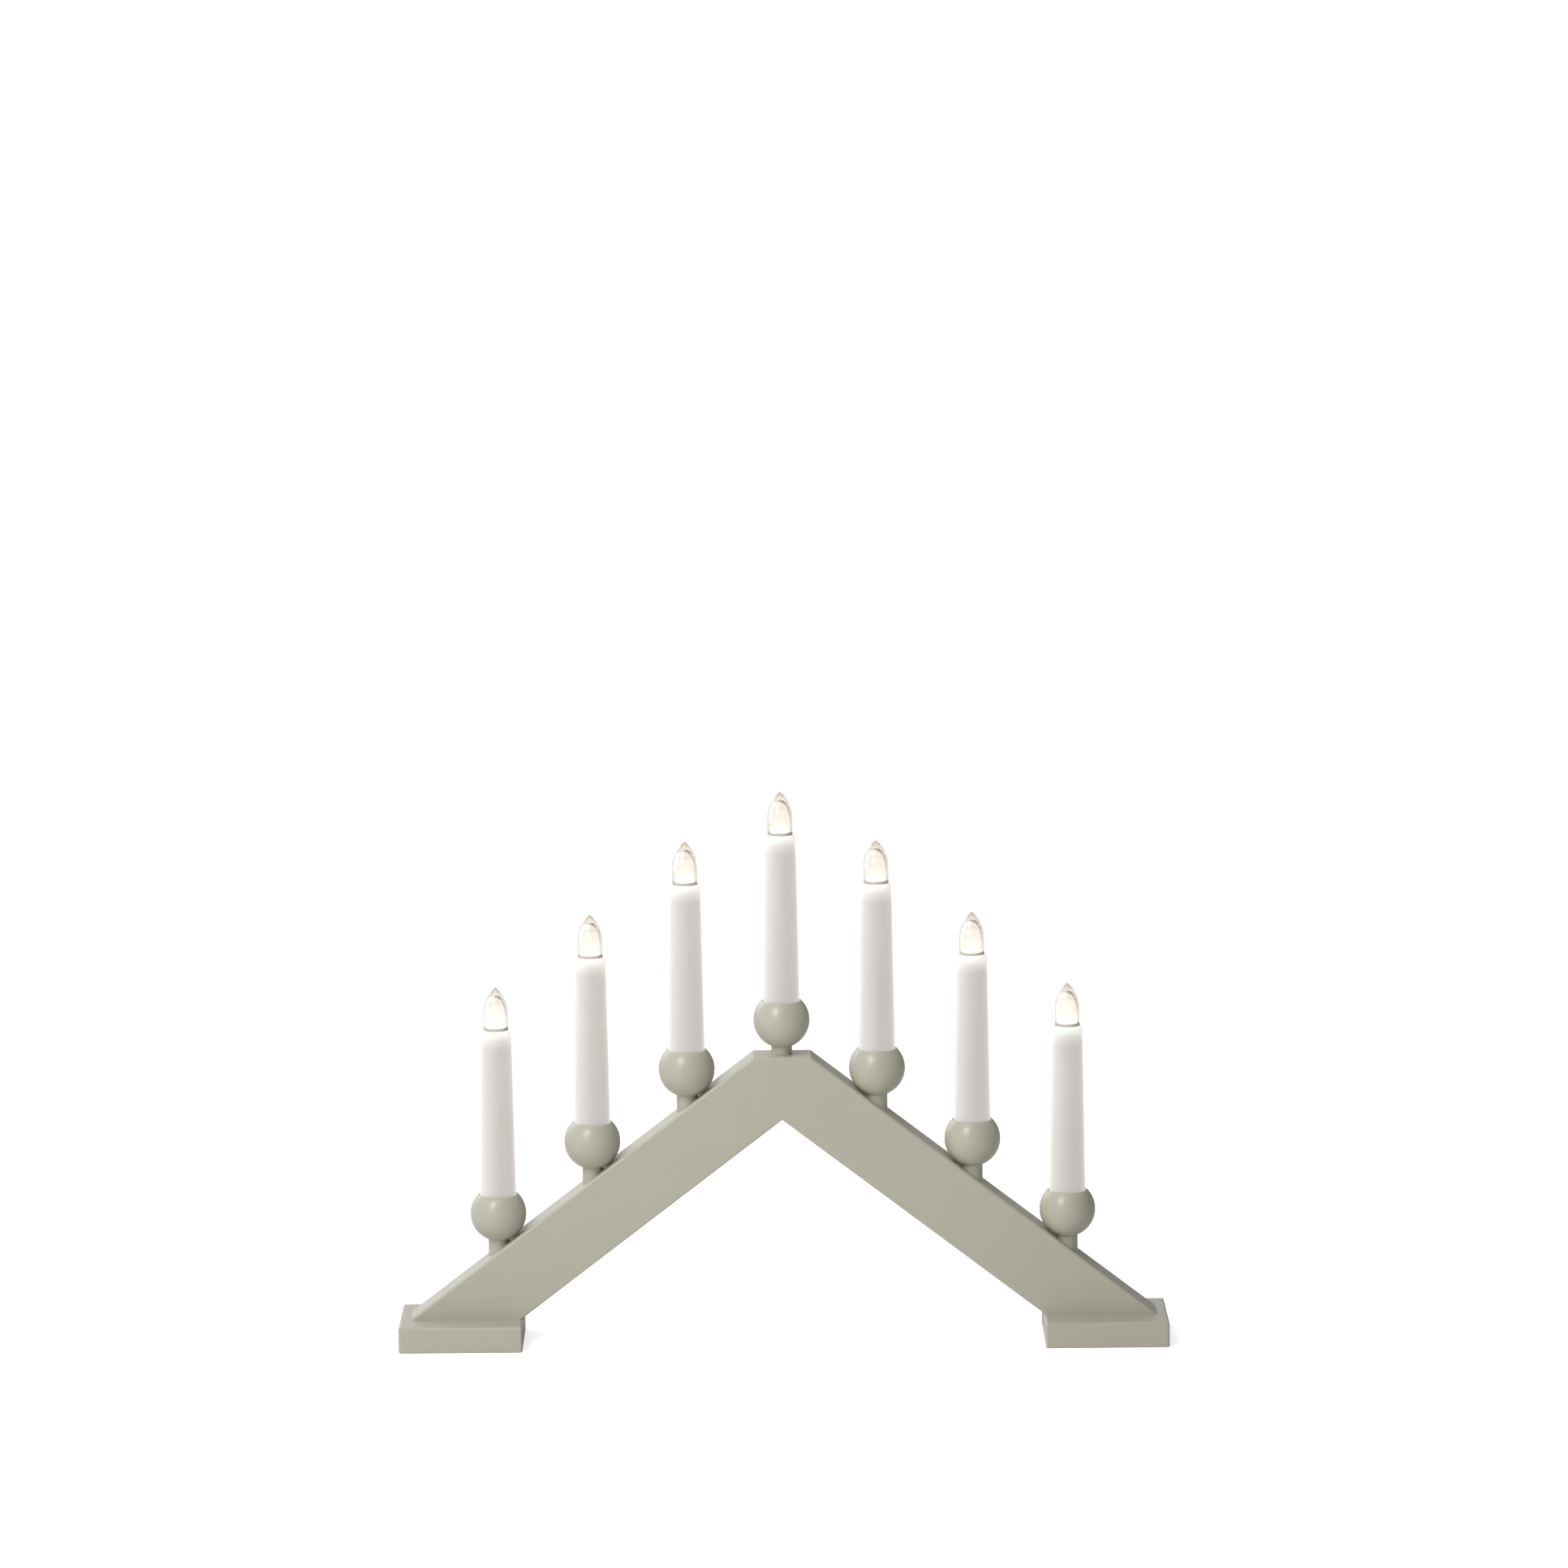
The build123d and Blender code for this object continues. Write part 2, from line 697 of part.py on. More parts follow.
write("lamp_holders", in_each_sleeve(lamp_holder()))
write("socket_shells", in_each_sleeve(socket_shell()))
write("centre_contacts", in_each_sleeve(centre_contact()))

glass, cap, core, contact = bulb_glass(), bulb_cap(), bulb_core(), bulb_contact()
for number in candle_numbers:
    write("bulb_glass_" + str(number), in_place(glass, number))
    write("bulb_cap_" + str(number), in_place(cap, number))
    write("bulb_core_" + str(number), in_place(core, number))
    write("bulb_contact_" + str(number), in_place(contact, number))

write("link_wires", link_wires())
write("feed_wire", feed_wire())
write("return_wire", return_wire())
write("wire_splices", wire_splices())
write("cord_inlet", cord_inlet())
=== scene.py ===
from math import asin, cos, pi, radians, sin, sqrt

import bmesh
import bpy
from mathutils import Matrix, Vector


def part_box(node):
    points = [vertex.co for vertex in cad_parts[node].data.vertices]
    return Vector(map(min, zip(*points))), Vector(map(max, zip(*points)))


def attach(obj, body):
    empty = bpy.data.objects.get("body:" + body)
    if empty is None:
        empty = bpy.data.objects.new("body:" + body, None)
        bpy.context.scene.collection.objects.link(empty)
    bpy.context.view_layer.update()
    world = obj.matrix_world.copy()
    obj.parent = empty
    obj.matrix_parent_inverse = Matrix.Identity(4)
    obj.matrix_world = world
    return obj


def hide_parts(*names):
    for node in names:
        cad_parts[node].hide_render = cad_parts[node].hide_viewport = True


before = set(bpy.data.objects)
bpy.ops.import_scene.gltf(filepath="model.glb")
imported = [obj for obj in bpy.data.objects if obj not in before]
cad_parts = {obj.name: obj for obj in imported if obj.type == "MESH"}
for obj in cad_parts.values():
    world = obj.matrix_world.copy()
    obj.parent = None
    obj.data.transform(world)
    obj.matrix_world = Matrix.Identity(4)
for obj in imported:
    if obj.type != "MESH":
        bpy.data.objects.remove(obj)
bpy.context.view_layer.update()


# Feet
# Two softened blocks of solid wood carry the beams' ends. They are sprayed with a warm grey satin
# paint that lets a little of the lengthwise grain show, and four screws hold them from below.

class Value:
    """A socket that works in sums: each operator on it adds the Math node that it stands for."""

    def __init__(self, finish, socket):
        self.finish = finish
        self.socket = socket

    def math(self, operation, *terms):
        values = dict(enumerate(terms))
        return self.finish.add("ShaderNodeMath", {"operation": operation}, values)

    def __add__(self, other):
        return self.math("ADD", self, other)

    def __radd__(self, other):
        return self.math("ADD", other, self)

    def __sub__(self, other):
        return self.math("SUBTRACT", self, other)

    def __rsub__(self, other):
        return self.math("SUBTRACT", other, self)

    def __mul__(self, other):
        return self.math("MULTIPLY", self, other)

    def __rmul__(self, other):
        return self.math("MULTIPLY", other, self)

    def clamped(self):
        return self.math("MAXIMUM", self.math("MINIMUM", self, 1), 0)


class Finish:
    """A material. Plain numbers are set on the shader's own sockets, sums are linked to them."""

    def __init__(self, name, tree=None):
        if tree is None:
            self.material = bpy.data.materials.new(name)
            self.material.use_nodes = True
            tree = self.material.node_tree
        self.tree = tree
        self.shader = tree.nodes.get("Principled BSDF")

    def give(self, socket, value):
        if isinstance(value, Value):
            self.tree.links.new(value.socket, socket)
        else:
            socket.default_value = value

    def add(self, kind, settings=None, values=None, output=0):
        node = self.tree.nodes.new(kind)
        for name, value in (settings or {}).items():
            setattr(node, name, value)
        for key, value in (values or {}).items():
            self.give(node.inputs[key], value)
        return Value(self, node.outputs[output])

    def place(self, scale=(1, 1, 1), turn=(0, 0, 0)):
        """Where a point is on the object, in metres, then turned and scaled."""
        point = self.add("ShaderNodeTexCoord", output="Object")
        values = {"Vector": point, "Rotation": turn, "Scale": scale}
        return self.add("ShaderNodeMapping", {}, values)

    def noise(self, size, detail=3.0, roughness=0.5, stretch=(1, 1, 1), turn=(0, 0, 0)):
        """Noise whose patches are about that many millimetres across."""
        scale = tuple(1000 / size / part for part in stretch)
        values = {"Vector": self.place(scale, turn), "Scale": 1.0, "Detail": detail,
                  "Roughness": roughness}
        return self.add("ShaderNodeTexNoise", {}, values)

    def stored(self, name):
        """A value that the mesh stores at each of its points."""
        return self.add("ShaderNodeAttribute", {"attribute_name": name}, output="Fac")

    def mix(self, factor, first, second):
        values = {0: factor, 6: first, 7: second}
        return self.add("ShaderNodeMix", {"data_type": "RGBA"}, values, output=2)

    def bump(self, height, depth):
        """A normal from a height of 0 to 1 that stands for that many millimetres."""
        values = {"Height": height, "Distance": depth / 1000, "Strength": 1.0}
        return self.add("ShaderNodeBump", {}, values)

    def use(self, **values):
        for name, value in values.items():
            self.give(self.shader.inputs[name.replace("_", " ")], value)
        return self.material


PAINT = (0.473, 0.451, 0.360, 1)
PAINT_DEEP = (0.450, 0.428, 0.341, 1)


def paint(name, grain_turn=0.0, along=(1, 0, 0)):
    """Satin paint over wood. The grain runs along X, turned about Y by grain_turn degrees."""
    finish = Finish(name)
    turn = (0, radians(grain_turn), 0)
    stretch = tuple(24 if part else 1 for part in along)
    cloud = finish.noise(38, 2.0)
    fine = finish.noise(1.1, 2.0)
    grain = finish.noise(1.7, 3.0, 0.6, stretch, turn)
    tone = finish.mix((cloud * 0.7 + grain * 0.5 - 0.1).clamped(), PAINT_DEEP, PAINT)
    surface = grain * 0.7 + fine * 0.3
    return finish.use(Base_Color=tone, Roughness=0.25 + grain * 0.06 + fine * 0.04,
                      IOR=1.43, Normal=finish.bump(surface, 0.010))


def dress(node, material):
    """Gives a CAD node its material."""
    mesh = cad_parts[node].data
    mesh.materials.clear()
    mesh.materials.append(material)


FOOT_PAINT = paint("foot_paint")
for side in ("left", "right"):
    dress(side + "_foot", FOOT_PAINT)


def zinc():
    """Zinc-plated steel, a little cloudy."""
    finish = Finish("zinc_plated_steel")
    cloud = finish.noise(1.5, 3.0)
    return finish.use(Base_Color=finish.mix(cloud, (0.50, 0.50, 0.48, 1), (0.62, 0.62, 0.60, 1)),
                      Metallic=1.0, Roughness=0.28 + cloud * 0.15)


ZINC = zinc()
dress("foot_screws", ZINC)


# Beams
# Two boards of solid wood, mitred at the top over two dowels and painted in one colour with the
# feet. A channel under them holds the wires, and two painted strips close it with small nails.

RISE_DEGREES = 37.5
dress("left_beam", paint("left_beam_paint", RISE_DEGREES))
dress("right_beam", paint("right_beam_paint", -RISE_DEGREES))
dress("left_channel_cover", paint("left_strip_paint", RISE_DEGREES))
dress("right_channel_cover", paint("right_strip_paint", -RISE_DEGREES))
dress("cover_nails", ZINC)


def raw_wood():
    """Unpainted birch of the dowels, with its grain along X."""
    finish = Finish("raw_birch")
    grain = finish.noise(0.8, 4.0, 0.6, (20, 1, 1))
    tone = finish.mix(grain, (0.50, 0.33, 0.17, 1), (0.70, 0.52, 0.31, 1))
    return finish.use(Base_Color=tone, Roughness=0.6, Normal=finish.bump(grain, 0.03))


dress("mitre_dowels", raw_wood())


# Cups
# Seven turned wooden balls, each glued into the beam by its short neck and bored from above for
# the candle sleeve. Paint fills the corner where the neck leaves the ball. From here on, sizes of
# pieces are in millimetres.

CANDLES = range(1, 8)
BALL = 15.7
NECK = 5.8
SOCKET = 10.3
SOCKET_DEPTH = 13.0
RIM_LAND = 0.9
RIM_HEIGHT = sqrt(BALL ** 2 - (SOCKET + RIM_LAND) ** 2)
SOCKET_FLOOR = RIM_HEIGHT - SOCKET_DEPTH
WIRE_BORE = 3.0
RIM_ROUND = 0.25
NECK_FILLET = 0.7
MERGE = 0.0005
SHARP_DEGREES = 35


def axis_x(number):
    low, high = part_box(f"cup_{number}")
    return (low.x + high.x) / 2


def ball_height(number):
    """Height of a cup's ball: the socket's rim is the solid's top."""
    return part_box(f"cup_{number}")[1].z - RIM_HEIGHT / 1000


def arc(centre, radius, start, stop, steps=8):
    """Points of a profile's arc, between two angles in degrees."""
    angles = [radians(start + (stop - start) * step / steps) for step in range(steps + 1)]
    return [(centre[0] + radius * cos(angle), centre[1] + radius * sin(angle)) for angle in angles]


def finished(name, bm, material, number, height, body, replaced):
    """Sets a mesh in millimetres on a candle's axis, at that height, and lets it ride on a body."""
    bmesh.ops.scale(bm, vec=(0.001, 0.001, 0.001), verts=bm.verts)
    bmesh.ops.translate(bm, vec=(axis_x(number), 0, height), verts=bm.verts)
    mesh = bpy.data.meshes.new(name)
    bm.to_mesh(mesh)
    bm.free()
    mesh.materials.append(material)
    mesh.shade_smooth()
    mesh.set_sharp_from_angle(angle=radians(SHARP_DEGREES))
    piece = bpy.data.objects.new(name, mesh)
    bpy.context.scene.collection.objects.link(piece)
    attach(piece, body)
    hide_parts(*replaced)
    return piece


def turned(profile, steps=72, closed=True):
    """A turned piece from points of (radius, height). An open profile ends on the axis twice."""
    bm = bmesh.new()
    ring = [bm.verts.new((radius, 0, height)) for radius, height in profile]
    ends = ring[1:] + ring[:1] if closed else ring[1:]
    edges = [bm.edges.new(pair) for pair in zip(ring, ends)]
    bmesh.ops.spin(bm, geom=ring + edges, cent=(0, 0, 0), axis=(0, 0, 1), dvec=(0, 0, 0),
                   angle=2 * pi, steps=steps, use_merge=True)
    bmesh.ops.remove_doubles(bm, verts=bm.verts, dist=MERGE)
    bmesh.ops.recalc_face_normals(bm, faces=bm.faces)
    return bm


def cup_profile(neck_bottom):
    """From the neck's lower end round the ball to the rim and down into the socket."""
    blend = BALL + NECK_FILLET
    fillet_z = -sqrt(blend ** 2 - (NECK + NECK_FILLET) ** 2)
    tangent = asin(-fillet_z / blend) * 180 / pi
    rim_angle = asin(RIM_HEIGHT / BALL) * 180 / pi
    return ([(WIRE_BORE, neck_bottom), (NECK, neck_bottom)]
            + arc((NECK + NECK_FILLET, fillet_z), NECK_FILLET, 180, 180 - tangent, 4)
            + arc((0, 0), BALL, -tangent, rim_angle, 40)
            + [(SOCKET + RIM_ROUND, RIM_HEIGHT), (SOCKET, RIM_HEIGHT - RIM_ROUND),
               (SOCKET, SOCKET_FLOOR), (WIRE_BORE, SOCKET_FLOOR)])


CUP_PAINT = paint("cup_paint", 0.0, (0, 0, 1))
for number in CANDLES:
    low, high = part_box(f"cup_{number}")
    ball = ball_height(number)
    bm = turned(cup_profile((low.z - ball) * 1000))
    finished(f"turned_cup_{number}", bm, CUP_PAINT, number, ball, "arch",
             [f"cup_{number}"])


# Candle sleeves
# Seven tapered tubes of moulded white plastic, a little translucent, pushed into the cups. Their
# tops are rounded over. The bulb's light on the plastic round the holder is a painted glow, and a
# faint painted glow with a painted edge sheen lightens the wall all the way down.

SLEEVE_FOOT = 10.15
SLEEVE_TOP = 8.6
SLEEVE_HEIGHT = 105.0
SHOULDER = 1.3
SLEEVE_WALL = 1.3
MOUTH = 7.25
LEDGE = 6.75
LEDGE_DEPTH = 4.0
MOUTH_ROUND = 0.1
SLEEVE_RINGS = 48
# Painted glow bands on the sleeve: where each starts and ends, in millimetres from its top, and its
# strength.
PAINTED_HOLDER_GLOW = (-10.5, -5.0, 0.22)
PAINTED_MOUTH_GLOW = (-5.0, -1.5, 0.38)
PAINTED_WALL_GLOW = (-60.0, 0.0, 0.06)


def sleeve_plastic():
    """White plastic with painted light. The glow attribute paints the bulb's light on round the
    holder and a faint glow all the way down, and a painted edge sheen lightens the wall seen edge
    on."""
    finish = Finish("sleeve_plastic")
    cloud = finish.noise(12, 2.0, 0.5, (1, 1, 4))
    fine = finish.noise(0.9, 2.0)
    glow = finish.stored("glow")
    tone = finish.mix(cloud, (0.402, 0.393, 0.374, 1), (0.430, 0.422, 0.404, 1))
    # Painted edge sheen from the facing, plus the painted glow bands and an even painted glow, all
    # as emission.
    edge = finish.add("ShaderNodeLayerWeight", {}, {"Blend": 0.5}, output="Facing")
    light = finish.mix(glow + edge * 0.64 + 0.27, (0, 0, 0, 1), (0.64, 0.61, 0.575, 1))
    return finish.use(Base_Color=tone, Roughness=0.30 + fine * 0.08, Subsurface_Weight=0.8,
                      Subsurface_Radius=(1.0, 0.95, 0.88), Subsurface_Scale=0.006,
                      Emission_Color=light, Emission_Strength=1.0,
                      Normal=finish.bump(cloud * 0.8 + fine * 0.2, 0.012))


def sleeve_profile():
    """Up the tapered wall in even rings that hold the glow, over the shoulder and down inside."""
    centre = (SLEEVE_TOP - SHOULDER, SLEEVE_HEIGHT - SHOULDER)
    outside = [(SLEEVE_FOOT + (SLEEVE_TOP - SLEEVE_FOOT) * ring / SLEEVE_RINGS,
                RIM_HEIGHT + (SLEEVE_HEIGHT - SHOULDER - RIM_HEIGHT) * ring / SLEEVE_RINGS)
               for ring in range(SLEEVE_RINGS)]
    return ([(SLEEVE_FOOT, SOCKET_FLOOR)] + outside + arc(centre, SHOULDER, 0, 90)
            + [(MOUTH, SLEEVE_HEIGHT - MOUTH_ROUND), (MOUTH, SLEEVE_HEIGHT - LEDGE_DEPTH),
               (LEDGE, SLEEVE_HEIGHT - LEDGE_DEPTH), (SLEEVE_FOOT - SLEEVE_WALL, SOCKET_FLOOR)])


def eased(low, high, value):
    """0 below low, 1 above high and smooth between them."""
    share = min(max((value - low) / (high - low), 0), 1)
    return share * share * (3 - 2 * share)


def store_glow(piece, strength):
    """Stores how strongly each point glows, as a function of its height in millimetres."""
    glow = piece.data.attributes.new("glow", "FLOAT", "POINT")
    for vertex, item in zip(piece.data.vertices, glow.data):
        item.value = strength(vertex.co.z * 1000)


SLEEVE_PLASTIC = sleeve_plastic()
for number in CANDLES:
    bm = turned(sleeve_profile())
    ball = ball_height(number)
    piece = finished(f"tapered_sleeve_{number}", bm, SLEEVE_PLASTIC, number, ball, "arch",
                     [f"candle_sleeve_{number}"])
    top = ball * 1000 + SLEEVE_HEIGHT
    # The sleeve's painted glow, stored by height.
    store_glow(piece, lambda z: sum(share * eased(low, high, z - top)
                                    for low, high, share in (PAINTED_HOLDER_GLOW, PAINTED_MOUTH_GLOW, PAINTED_WALL_GLOW)))


# Lamp holders
# A white plastic holder stands in each sleeve's mouth. A brass shell with a rolled thread lines
# it, and a brass disc on its floor meets the bulb's rivet.

def holder_plastic():
    finish = Finish("holder_plastic")
    fine = finish.noise(1.5, 2.0)
    return finish.use(Base_Color=finish.mix(fine, (0.72, 0.71, 0.68, 1), (0.79, 0.78, 0.75, 1)),
                      Roughness=0.4 + fine * 0.1)


def brass():
    """Thin rolled brass, slightly dulled in patches."""
    finish = Finish("rolled_brass")
    cloud = finish.noise(2.0, 3.0, 0.6)
    return finish.use(Base_Color=finish.mix(cloud, (0.66, 0.47, 0.21, 1), (0.83, 0.66, 0.36, 1)),
                      Metallic=1.0, Roughness=0.22 + cloud * 0.16)


HOLDER_PLASTIC = holder_plastic()
BRASS = brass()
dress("lamp_holders", HOLDER_PLASTIC)
dress("centre_contacts", BRASS)
dress("socket_shells", BRASS)


# Bulbs
# Seven clear plastic envelopes with a solid pointed tip over a domed hollow, each moulded round a
# small lit chip. A rolled brass cap carries the thread, and a rivet in its floor is the contact.

BULB = 6.95
BULB_HEIGHT = 23.6
BULB_SEAT = 0.15
POINT_CURVE = 20.0
TIP = 1.2
HOLLOW = 5.6
BULB_FLOOR = 1.2
SOLID_TIP = 4.8
DOME_RISE = 12.8
DOME_FADE = 6.0
BASE_CHAMFER = 0.5
RIM_BAND = 1.6
CORE_NECK = 4.45
CAP = 4.7
CAP_ROOT = 4.5
CAP_BORE = 4.4
CAP_TOP = -0.3
CAP_FOOT = -9.5
COLLAR = 0.4
COLLAR_FOOT = 0.6
THREAD_PITCH = 1.81
THREAD_FROM_FOOT = 0.6
THREAD_TURNS = 4
THREAD_STEPS = 40
RIDGE_HALF = 0.45
RIDGE_FLANK = 0.2
RIDGE_ROUND = 0.04
RIDGE_SINK = 0.05


def clear_plastic():
    """Clear all over, and a little warmer where the tip is solid and the light has far to go."""
    finish = Finish("clear_plastic")
    ripple = finish.noise(3.5, 1.0)
    thin = finish.stored("glow")
    tint = finish.mix(thin, (0.86, 0.80, 0.73, 1), (0.99, 0.985, 0.975, 1))
    return finish.use(Base_Color=finish.mix(ripple * 0.1, tint, (1, 1, 1, 1)), Roughness=0.02,
                      IOR=1.49, Transmission_Weight=1.0, Normal=finish.bump(ripple, 0.003))


def lit_wall():
    """The hollow's wall, faintly frosted: the chip inside lights all of it."""
    finish = Finish("lit_hollow_wall")
    cloud = finish.noise(3.0, 2.0)
    glow = finish.stored("glow")
    light = finish.mix(glow * (0.9 + cloud * 0.1), (0, 0, 0, 1), (0.27, 0.237, 0.192, 1))
    tone = finish.mix(cloud, (0.95, 0.915, 0.865, 1), (0.98, 0.955, 0.915, 1))
    return finish.use(Base_Color=tone, Roughness=0.18 + cloud * 0.08, IOR=1.49,
                      Transmission_Weight=1.0, Emission_Color=light, Emission_Strength=1.0)


def moulded_rim():
    """The rough foot of the envelope, where it was cut from the moulding: cloudy, a little pink."""
    finish = Finish("moulded_rim")
    fine = finish.noise(0.6, 3.0)
    return finish.use(Base_Color=finish.mix(fine, (0.50, 0.465, 0.435, 1), (0.62, 0.585, 0.55, 1)),
                      Roughness=0.35 + fine * 0.2, Transmission_Weight=0.25, IOR=1.49)


def envelope_profile():
    """The outside from the base to the tip, then the hollow back down to the core's neck."""
    centre_x = BULB - POINT_CURVE
    rise = sqrt((POINT_CURVE - TIP) ** 2 - centre_x ** 2)
    straight = BULB_HEIGHT - TIP - rise
    turn = asin(rise / (POINT_CURVE - TIP)) * 180 / pi
    return ([(CORE_NECK, 0), (BULB - BASE_CHAMFER, 0), (BULB, BASE_CHAMFER), (BULB, RIM_BAND)]
            + arc((centre_x, straight), POINT_CURVE, 0, turn, 24)
            + arc((0, BULB_HEIGHT - TIP), TIP, turn, 90, 8)[1:])


def hollow_profile():
    """Up from the base over the floor's edge and the wall, then a tall dome up to the axis."""
    dome = BULB_HEIGHT - SOLID_TIP - DOME_RISE
    return ([(CORE_NECK, 0), (CORE_NECK, BULB_FLOOR), (HOLLOW, BULB_FLOOR)]
            + [(radius, dome + height * DOME_RISE) for radius, height in
               [(HOLLOW * x, z) for x, z in arc((0, 0), 1, 0, 90, 24)]])


def envelope():
    """The two turned walls share the ring at the base, so they make one closed shell."""
    profile = envelope_profile()[::-1] + hollow_profile()[1:]
    return turned(profile, 64, closed=False)


def core_plastic():
    """Pale plastic lit through by the chip on its post."""
    finish = Finish("lit_core_plastic")
    fine = finish.noise(1.2, 2.0)
    return finish.use(Base_Color=finish.mix(fine, (0.82, 0.80, 0.74, 1), (0.88, 0.86, 0.80, 1)),
                      Roughness=0.45, Emission_Color=(1.0, 0.93, 0.82, 1), Emission_Strength=0.7)


def screw_cap():
    """The rolled cap: a thin tube under a collar, with its ridge spun up the axis."""
    bm = turned([(CAP_BORE, CAP_FOOT), (CAP_ROOT, CAP_FOOT), (CAP_ROOT, CAP_TOP - COLLAR_FOOT),
                 (CAP, CAP_TOP - COLLAR), (CAP, CAP_TOP), (CAP_BORE, CAP_TOP)], 48)
    low = CAP_FOOT + THREAD_FROM_FOOT
    section = [(CAP_ROOT - RIDGE_SINK, low - RIDGE_HALF), (CAP - RIDGE_ROUND, low - RIDGE_FLANK),
               (CAP, low), (CAP - RIDGE_ROUND, low + RIDGE_FLANK),
               (CAP_ROOT - RIDGE_SINK, low + RIDGE_HALF)]
    ring = [bm.verts.new((radius, 0, height)) for radius, height in section]
    edges = [bm.edges.new(pair) for pair in zip(ring, ring[1:] + ring[:1])]
    bmesh.ops.spin(bm, geom=ring + edges, cent=(0, 0, 0), axis=(0, 0, 1),
                   dvec=(0, 0, THREAD_PITCH / THREAD_STEPS), angle=2 * pi * THREAD_TURNS,
                   steps=THREAD_STEPS * THREAD_TURNS)
    bmesh.ops.holes_fill(bm, edges=[edge for edge in bm.edges if edge.is_boundary], sides=0)
    bmesh.ops.recalc_face_normals(bm, faces=bm.faces)
    return bm


NEAR = 0.05
CLEAR = clear_plastic()
CORE = core_plastic()
INNER_FINISHES = [lit_wall(), moulded_rim()]
LIT_WALL, MOULDED_RIM = 1, 2
hollow_top = BULB_HEIGHT - SOLID_TIP
for number in CANDLES:
    seat = ball_height(number) + (SLEEVE_HEIGHT + BULB_SEAT) / 1000
    body = f"bulb_{number}"
    piece = finished(f"pointed_envelope_{number}", envelope(), CLEAR, number, seat, body,
                     [f"bulb_glass_{number}"])
    for material in INNER_FINISHES:
        piece.data.materials.append(material)
    foot_centre = Vector((axis_x(number), 0, seat))
    for face in piece.data.polygons:
        middle = (face.center - foot_centre) * 1000
        if middle.z < RIM_BAND and middle.xy.length > HOLLOW:
            face.material_index = MOULDED_RIM
        elif middle.xy.length < HOLLOW + NEAR and BULB_FLOOR < middle.z < hollow_top + NEAR:
            face.material_index = LIT_WALL
    dome = seat * 1000 + hollow_top
    store_glow(piece, lambda z: 1 - eased(-DOME_FADE, 0, z - dome))
    dress(f"bulb_core_{number}", CORE)
    finished(f"threaded_cap_{number}", screw_cap(), BRASS, number, seat, body,
             [f"bulb_cap_{number}"])
    dress(f"bulb_contact_{number}", BRASS)


# Wiring and inlet
# Thin insulated wires run in the beams' channel from lamp to lamp. Two crimp sleeves join them to
# the supply, which enters through a flanged bush in the back of the right beam.

def insulation():
    finish = Finish("wire_insulation")
    fine = finish.noise(0.8, 2.0)
    return finish.use(Base_Color=finish.mix(fine, (0.70, 0.69, 0.66, 1), (0.78, 0.77, 0.74, 1)),
                      Roughness=0.42 + fine * 0.1)


def rubber():
    finish = Finish("inlet_rubber")
    fine = finish.noise(0.7, 3.0)
    return finish.use(Base_Color=finish.mix(fine, (0.36, 0.345, 0.29, 1), (0.42, 0.40, 0.34, 1)),
                      Roughness=0.55 + fine * 0.15, Normal=finish.bump(fine, 0.02))


INSULATION = insulation()
for node in ("link_wires", "feed_wire", "return_wire"):
    dress(node, INSULATION)
dress("wire_splices", ZINC)
dress("cord_inlet", rubber())


# Studio
# A plain pale floor under soft light: a large softbox high on the left in front, weaker ones
# beside the camera, overhead and behind on the left, and a backdrop that is bright on the left and
# dim on the right. Sizes and places are in metres.

FLOOR_DROP = 0.0002
FLOOR_SIZE = 30
FLOOR_GLOW = 0.7
FLOOR_GLOW_IN_BULBS = 0.13
BACKDROP = 0.23
BACKDROP_LEFT = 0.65
LEFT_SIDE = 0.5
FRONT_SIDE = 0.14
DARKEST = 0.01
MIDDLE = (0, 0, 0.13)


def studio_floor():
    """Matt and pale, and white to the camera but for the arch's own shadow."""
    finish = Finish("pale_floor")
    cloud = finish.noise(400, 2.0)
    path = finish.add("ShaderNodeLightPath").socket.node.outputs
    seen = (Value(finish, path["Is Camera Ray"]) * FLOOR_GLOW
            + Value(finish, path["Is Transmission Ray"]) * FLOOR_GLOW_IN_BULBS)
    return finish.use(Base_Color=finish.mix(cloud, (0.86, 0.86, 0.855, 1), (0.88, 0.88, 0.875, 1)),
                      Roughness=0.9, Emission_Color=(1, 1, 1, 1), Emission_Strength=seen)


bm = bmesh.new()
bmesh.ops.create_grid(bm, x_segments=1, y_segments=1, size=FLOOR_SIZE)
floor_mesh = bpy.data.meshes.new("floor")
bm.to_mesh(floor_mesh)
bm.free()
floor_mesh.materials.append(studio_floor())
floor = bpy.data.objects.new("floor", floor_mesh)
floor.location.z = -FLOOR_DROP
bpy.context.scene.collection.objects.link(floor)

world = bpy.data.worlds.new("studio")
world.use_nodes = True
bpy.context.scene.world = world
sky = Finish("studio", world.node_tree)
background = world.node_tree.nodes["Background"]
direction = sky.add("ShaderNodeTexCoord", output="Generated")
split = sky.add("ShaderNodeSeparateXYZ", {}, {"Vector": direction}).socket.node.outputs
across, back = Value(sky, split["X"]), Value(sky, split["Y"])
behind = (back * 2).clamped()
left_share = ((0.12 - across) * 6).clamped()
surroundings = (behind * (left_share * BACKDROP_LEFT + BACKDROP)
                + (across * -1).clamped() * LEFT_SIDE + (back * -1).clamped() * FRONT_SIDE
                + DARKEST)
path = sky.add("ShaderNodeLightPath").socket.node.outputs
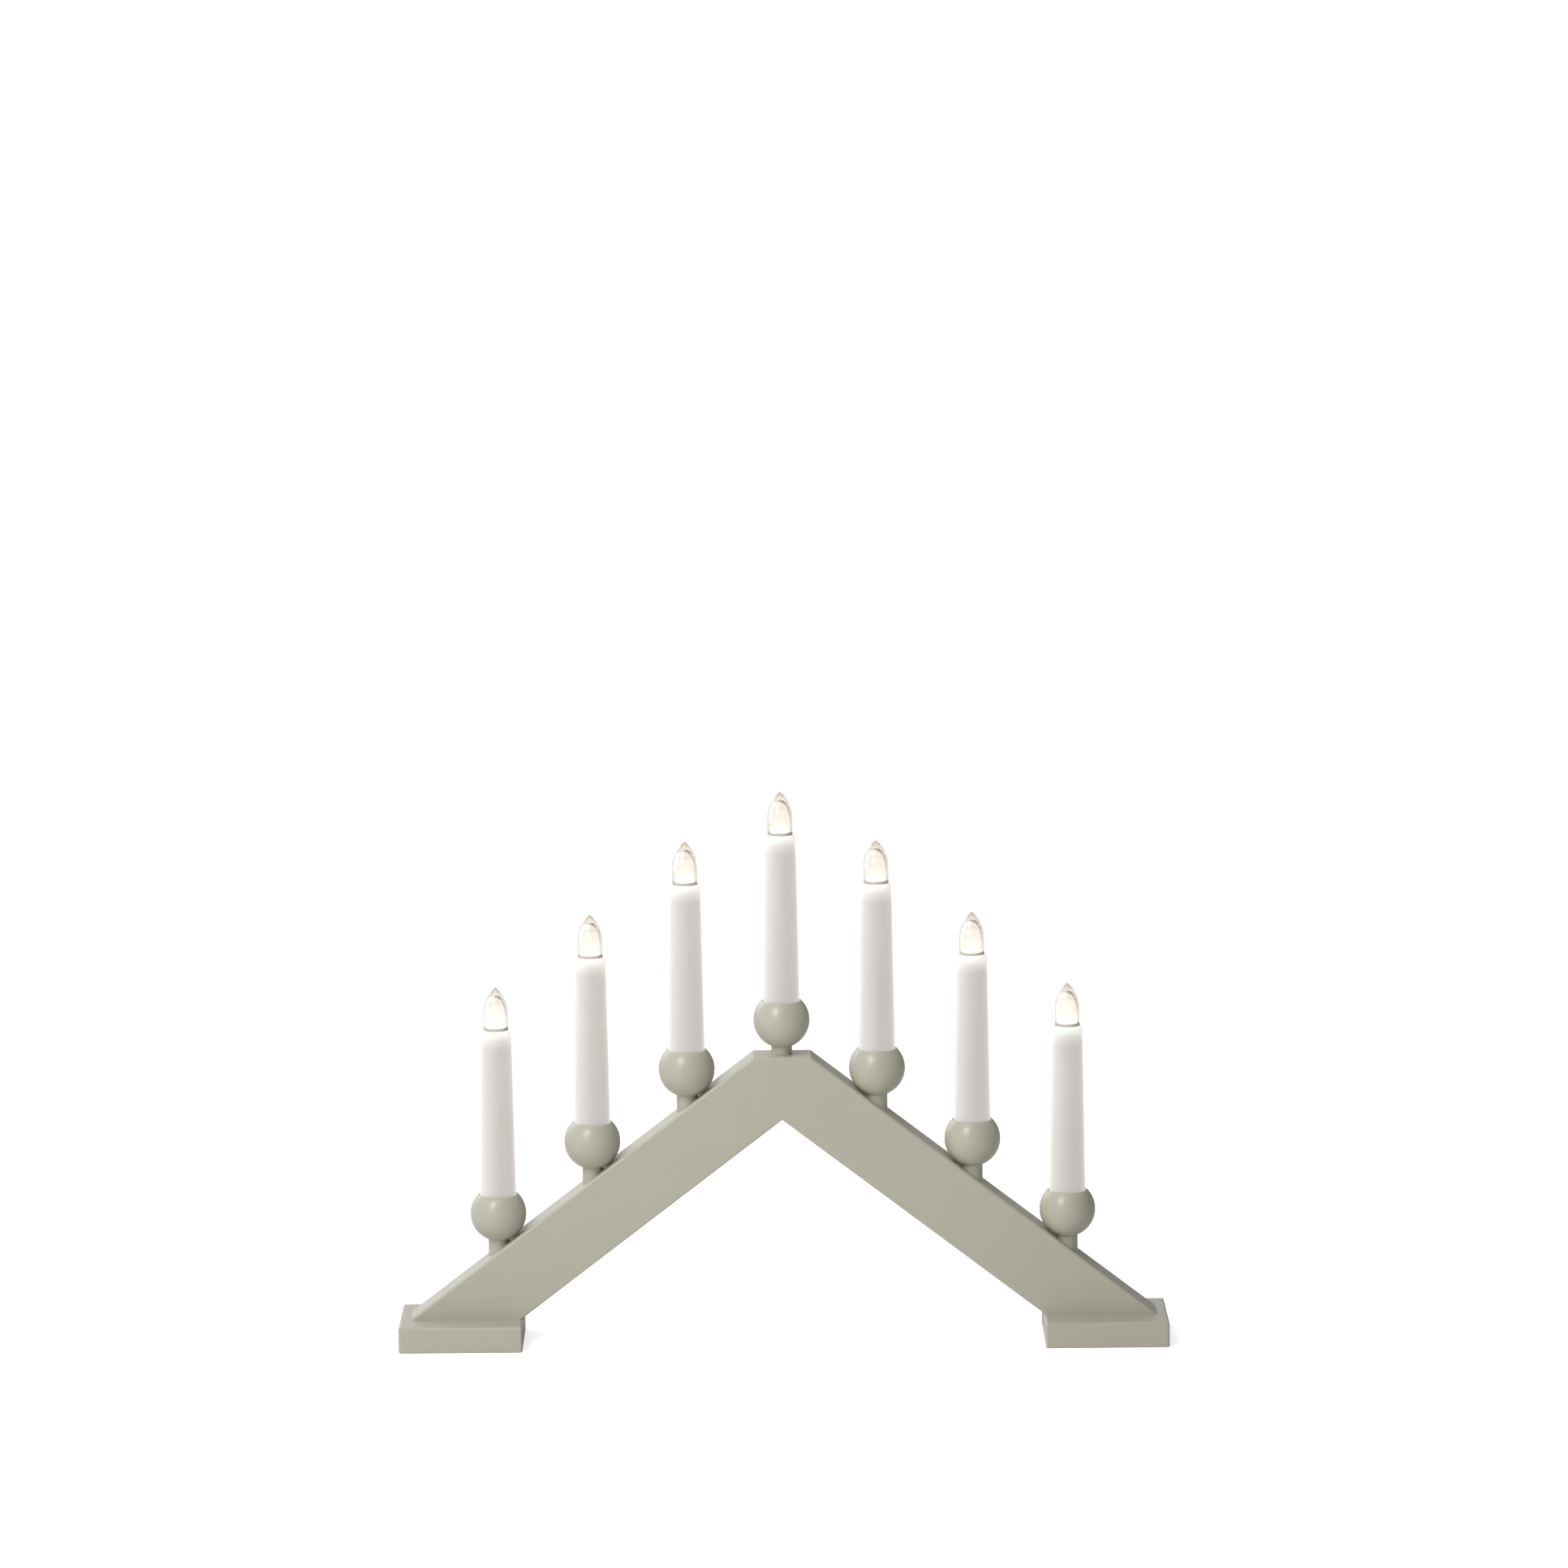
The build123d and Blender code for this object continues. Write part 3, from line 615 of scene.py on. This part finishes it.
# The camera sees the backdrop white, and so do rays that leave a bulb straight on.
straight = ((back - 0.8) * 6).clamped() + (back * -1.5).clamped() * 0.6
seen = (Value(sky, path["Is Camera Ray"])
        + Value(sky, path["Is Transmission Ray"]) * straight).clamped()
level = surroundings * (1 - seen) + seen
grey = sky.add("ShaderNodeCombineXYZ", {}, {0: level, 1: level, 2: level})
sky.give(background.inputs["Color"], grey)
background.inputs["Strength"].default_value = 1.0


def softbox(name, place, size, power, colour=(1, 1, 1)):
    """A flat area light at a place, turned towards the middle of the arch."""
    light = bpy.data.lights.new(name, "AREA")
    light.shape = "RECTANGLE"
    light.size, light.size_y = size
    light.energy = power
    light.color = colour
    lamp = bpy.data.objects.new(name, light)
    lamp.location = place
    lamp.rotation_euler = (Vector(MIDDLE) - Vector(place)).to_track_quat("-Z", "Y").to_euler()
    bpy.context.scene.collection.objects.link(lamp)


softbox("key", (-0.95, -1.5, 1.75), (0.8, 0.8), 30.5)
softbox("front", (-1.14, -2.02, 1.0), (0.7, 0.7), 8.3)
softbox("overhead", (-0.35, -0.5, 1.7), (1.0, 1.0), 4.5, (0.85, 0.97, 1.2))
softbox("rim", (-0.9, 0.95, 0.75), (0.35, 0.6), 1.5)


# Camera
# A long lens at a little under four metres, straight in front of the arch and looking slightly
# down, as the photograph was taken. Angles are in degrees.

CAMERA_PLACE = (-0.0064, -3.7349, 0.9347)
YAW = 0.136
PITCH = 9.405
ROLL = -0.446
FOCAL_PIXELS = 8400.0
IMAGE_PIXELS = 1932.0
SENSOR = 36.0
CLIP_END = 100.0

camera_data = bpy.data.cameras.new("camera")
camera_data.sensor_width = SENSOR
camera_data.lens = FOCAL_PIXELS / IMAGE_PIXELS * SENSOR
camera_data.clip_end = CLIP_END
camera = bpy.data.objects.new("camera", camera_data)
camera.matrix_world = (Matrix.Translation(CAMERA_PLACE) @ Matrix.Rotation(radians(-YAW), 4, "Z")
                       @ Matrix.Rotation(radians(90 - PITCH), 4, "X")
                       @ Matrix.Rotation(radians(ROLL), 4, "Z"))
bpy.context.scene.collection.objects.link(camera)
bpy.context.scene.camera = camera
bpy.context.scene.view_settings.view_transform = "Standard"
